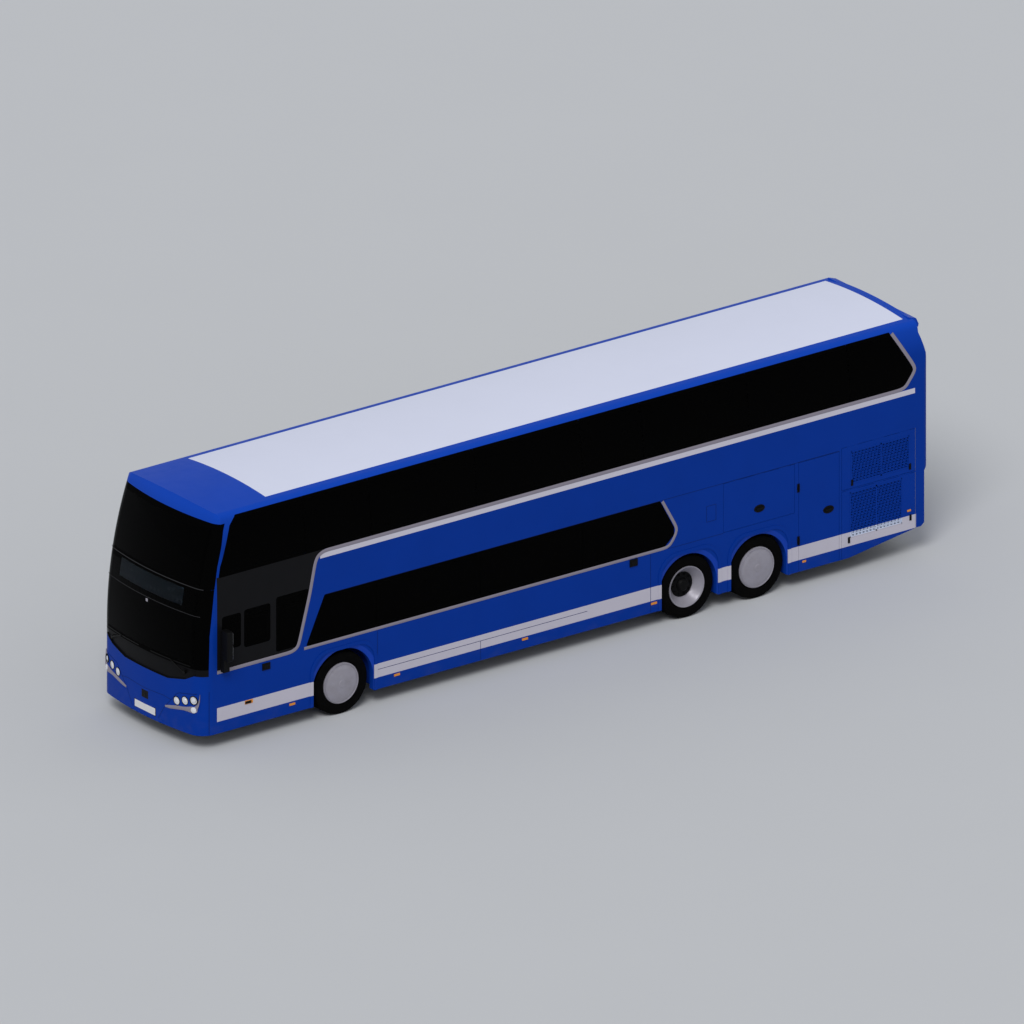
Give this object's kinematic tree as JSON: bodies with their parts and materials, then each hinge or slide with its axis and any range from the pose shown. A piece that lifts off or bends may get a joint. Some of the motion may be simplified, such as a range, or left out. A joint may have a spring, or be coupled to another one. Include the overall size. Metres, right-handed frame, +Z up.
{
  "type": "double-deck coach bus",
  "caption": "Double-deck touring coach on three axles, with tinted side glass, swing-out entrance doors, luggage and engine flaps, steered front wheels and seats on both decks.",
  "frame": {"origin": "on the ground, under the middle of the coach's length and width", "axes": "+X forward, +Y to the coach's left, +Z up"},
  "size_m": [14.1061, 2.98, 3.88],
  "materials": {
    "body_paint": "gloss",
    "tinted_glass": "gloss",
    "floor_covering": "matte",
    "seat_fabric": "matte",
    "black_plastic": "satin",
    "display_panel": "gloss",
    "engine_iron": "matte",
    "chassis_steel": "satin",
    "clear_lamp": "gloss",
    "amber_lamp": "gloss",
    "red_lamp": "gloss",
    "tyre_rubber": "matte",
    "wheel_paint": "satin"
  },
  "bodies": {
    "coach": {"side_wall_left": "body_paint", "side_wall_right": "body_paint", "front_panel": "body_paint", "windscreens": "tinted_glass", "roof": "body_paint", "rear_panel": "body_paint", "rear_window": "tinted_glass", "glass_left": "tinted_glass", "glass_right": "tinted_glass", "lower_saloon_floor": "floor_covering", "upper_deck_floor": "floor_covering", "staircase": "floor_covering", "seats_lower": "seat_fabric", "seats_upper": "seat_fabric", "driver_seat": "seat_fabric", "dashboard": "black_plastic", "destination_display": "display_panel", "engine_block": "engine_iron", "chassis_frame": "chassis_steel", "tow_sockets": "chassis_steel", "saloon_walls": "chassis_steel", "front_axle_beam": "chassis_steel", "drive_axle": "chassis_steel", "tag_axle": "chassis_steel", "mirrors": "black_plastic", "lamps_front": "clear_lamp", "lamps_side": "amber_lamp", "lamps_rear": "red_lamp", "wipers": "black_plastic"},
    "knuckle_left": {"knuckle_left": "chassis_steel"},
    "knuckle_right": {"knuckle_right": "chassis_steel"},
    "steering_wheel": {"steering_wheel": "black_plastic"},
    "front_door_arm": {"front_door_arm": "chassis_steel"},
    "front_door": {"front_door": "body_paint", "front_door_glass": "tinted_glass"},
    "middle_door_arm": {"middle_door_arm": "chassis_steel"},
    "middle_door": {"middle_door": "body_paint", "middle_door_glass": "tinted_glass"},
    "engine_door": {"engine_door": "body_paint"},
    "wheel_front_left": {"tyre_front_left": "tyre_rubber", "rim_front_left": "wheel_paint"},
    "wheel_tag_left": {"tyre_tag_left": "tyre_rubber", "rim_tag_left": "wheel_paint"},
    "wheels_drive_left": {"tyres_drive_left": "tyre_rubber", "rim_drive_left": "wheel_paint"},
    "locker_door_left": {"locker_door_left": "body_paint"},
    "service_door_left": {"service_door_left": "body_paint"},
    "upper_flap_left": {"upper_flap_left": "body_paint"},
    "lower_flap_left": {"lower_flap_left": "body_paint"},
    "wheel_front_right": {"tyre_front_right": "tyre_rubber", "rim_front_right": "wheel_paint"},
    "wheel_tag_right": {"tyre_tag_right": "tyre_rubber", "rim_tag_right": "wheel_paint"},
    "wheels_drive_right": {"tyres_drive_right": "tyre_rubber", "rim_drive_right": "wheel_paint"},
    "locker_door_right": {"locker_door_right": "body_paint"},
    "service_door_right": {"service_door_right": "body_paint"},
    "upper_flap_right": {"upper_flap_right": "body_paint"},
    "lower_flap_right": {"lower_flap_right": "body_paint"}
  },
  "joints": [
    {"name": "steer_left", "type": "hinge", "parent": "coach", "child": "knuckle_left", "pos_m": [4.2, 1.03, 0.51], "axis": [0, 0, 1], "range_deg": [-40, 40]},
    {"name": "wheel_front_left_spin", "type": "hinge", "parent": "knuckle_left", "child": "wheel_front_left", "pos_m": [4.2, 1.09, 0.51], "axis": [0, 1, 0], "continuous": true},
    {"name": "wheels_drive_left_spin", "type": "hinge", "parent": "coach", "child": "wheels_drive_left", "pos_m": [-2.44, 1.09, 0.51], "axis": [0, 1, 0], "continuous": true},
    {"name": "wheel_tag_left_spin", "type": "hinge", "parent": "coach", "child": "wheel_tag_left", "pos_m": [-3.78, 1.09, 0.51], "axis": [0, 1, 0], "continuous": true},
    {"name": "steer_right", "type": "hinge", "parent": "coach", "child": "knuckle_right", "pos_m": [4.2, -1.03, 0.51], "axis": [0, 0, 1], "range_deg": [-40, 40]},
    {"name": "wheel_front_right_spin", "type": "hinge", "parent": "knuckle_right", "child": "wheel_front_right", "pos_m": [4.2, -1.09, 0.51], "axis": [0, 1, 0], "continuous": true},
    {"name": "wheels_drive_right_spin", "type": "hinge", "parent": "coach", "child": "wheels_drive_right", "pos_m": [-2.44, -1.09, 0.51], "axis": [0, 1, 0], "continuous": true},
    {"name": "wheel_tag_right_spin", "type": "hinge", "parent": "coach", "child": "wheel_tag_right", "pos_m": [-3.78, -1.09, 0.51], "axis": [0, 1, 0], "continuous": true},
    {"name": "steering_wheel_turn", "type": "hinge", "parent": "coach", "child": "steering_wheel", "pos_m": [6.14, 0.72, 1.29], "axis": [-0.5736, 0, 0.8192], "range_deg": [-640, 640]},
    {"name": "front_door_arm_swing", "type": "hinge", "parent": "coach", "child": "front_door_arm", "pos_m": [6.275, -1.175, 0.38], "axis": [0, 0, 1], "range_deg": [0, 105]},
    {"name": "front_door_turn", "type": "hinge", "parent": "front_door_arm", "child": "front_door", "pos_m": [5.775, -1.175, 0.44], "axis": [0, 0, 1], "range_deg": [-105, 0]},
    {"name": "middle_door_arm_swing", "type": "hinge", "parent": "coach", "child": "middle_door_arm", "pos_m": [1.425, -1.175, 0.38], "axis": [0, 0, 1], "range_deg": [0, 105]},
    {"name": "middle_door_turn", "type": "hinge", "parent": "middle_door_arm", "child": "middle_door", "pos_m": [0.925, -1.175, 0.44], "axis": [0, 0, 1], "range_deg": [-105, 0]},
    {"name": "locker_door_left_lift", "type": "hinge", "parent": "coach", "child": "locker_door_left", "pos_m": [-3.785, 1.272, 2.0667], "axis": [1, 0, 0], "range_deg": [0, 85]},
    {"name": "service_door_left_swing", "type": "hinge", "parent": "coach", "child": "service_door_left", "pos_m": [-4.548, 1.284, 1.2], "axis": [0, 0, -1], "range_deg": [0, 90]},
    {"name": "upper_flap_left_lift", "type": "hinge", "parent": "coach", "child": "upper_flap_left", "pos_m": [-6.08, 1.272, 2.1067], "axis": [1, 0, 0], "range_deg": [0, 85]},
    {"name": "lower_flap_left_lift", "type": "hinge", "parent": "coach", "child": "lower_flap_left", "pos_m": [-6.08, 1.272, 1.3837], "axis": [1, 0, 0], "range_deg": [0, 85]},
    {"name": "locker_door_right_lift", "type": "hinge", "parent": "coach", "child": "locker_door_right", "pos_m": [-3.785, -1.272, 2.0667], "axis": [-1, 0, 0], "range_deg": [0, 85]},
    {"name": "service_door_right_swing", "type": "hinge", "parent": "coach", "child": "service_door_right", "pos_m": [-4.548, -1.284, 1.2], "axis": [0, 0, 1], "range_deg": [0, 90]},
    {"name": "upper_flap_right_lift", "type": "hinge", "parent": "coach", "child": "upper_flap_right", "pos_m": [-6.08, -1.272, 2.1067], "axis": [-1, 0, 0], "range_deg": [0, 85]},
    {"name": "lower_flap_right_lift", "type": "hinge", "parent": "coach", "child": "lower_flap_right", "pos_m": [-6.08, -1.272, 1.3837], "axis": [-1, 0, 0], "range_deg": [0, 85]},
    {"name": "engine_door_lift", "type": "hinge", "parent": "coach", "child": "engine_door", "pos_m": [-6.957, 0, 1.3467], "axis": [0, 1, 0], "range_deg": [0, 85]}
  ],
  "couplings": [
    {"joint": "steer_right", "follows": "steer_left", "ratio": 1},
    {"joint": "steering_wheel_turn", "follows": "steer_left", "ratio": 16},
    {"joint": "front_door_turn", "follows": "front_door_arm_swing", "ratio": -1},
    {"joint": "middle_door_turn", "follows": "middle_door_arm_swing", "ratio": -1}
  ]
}
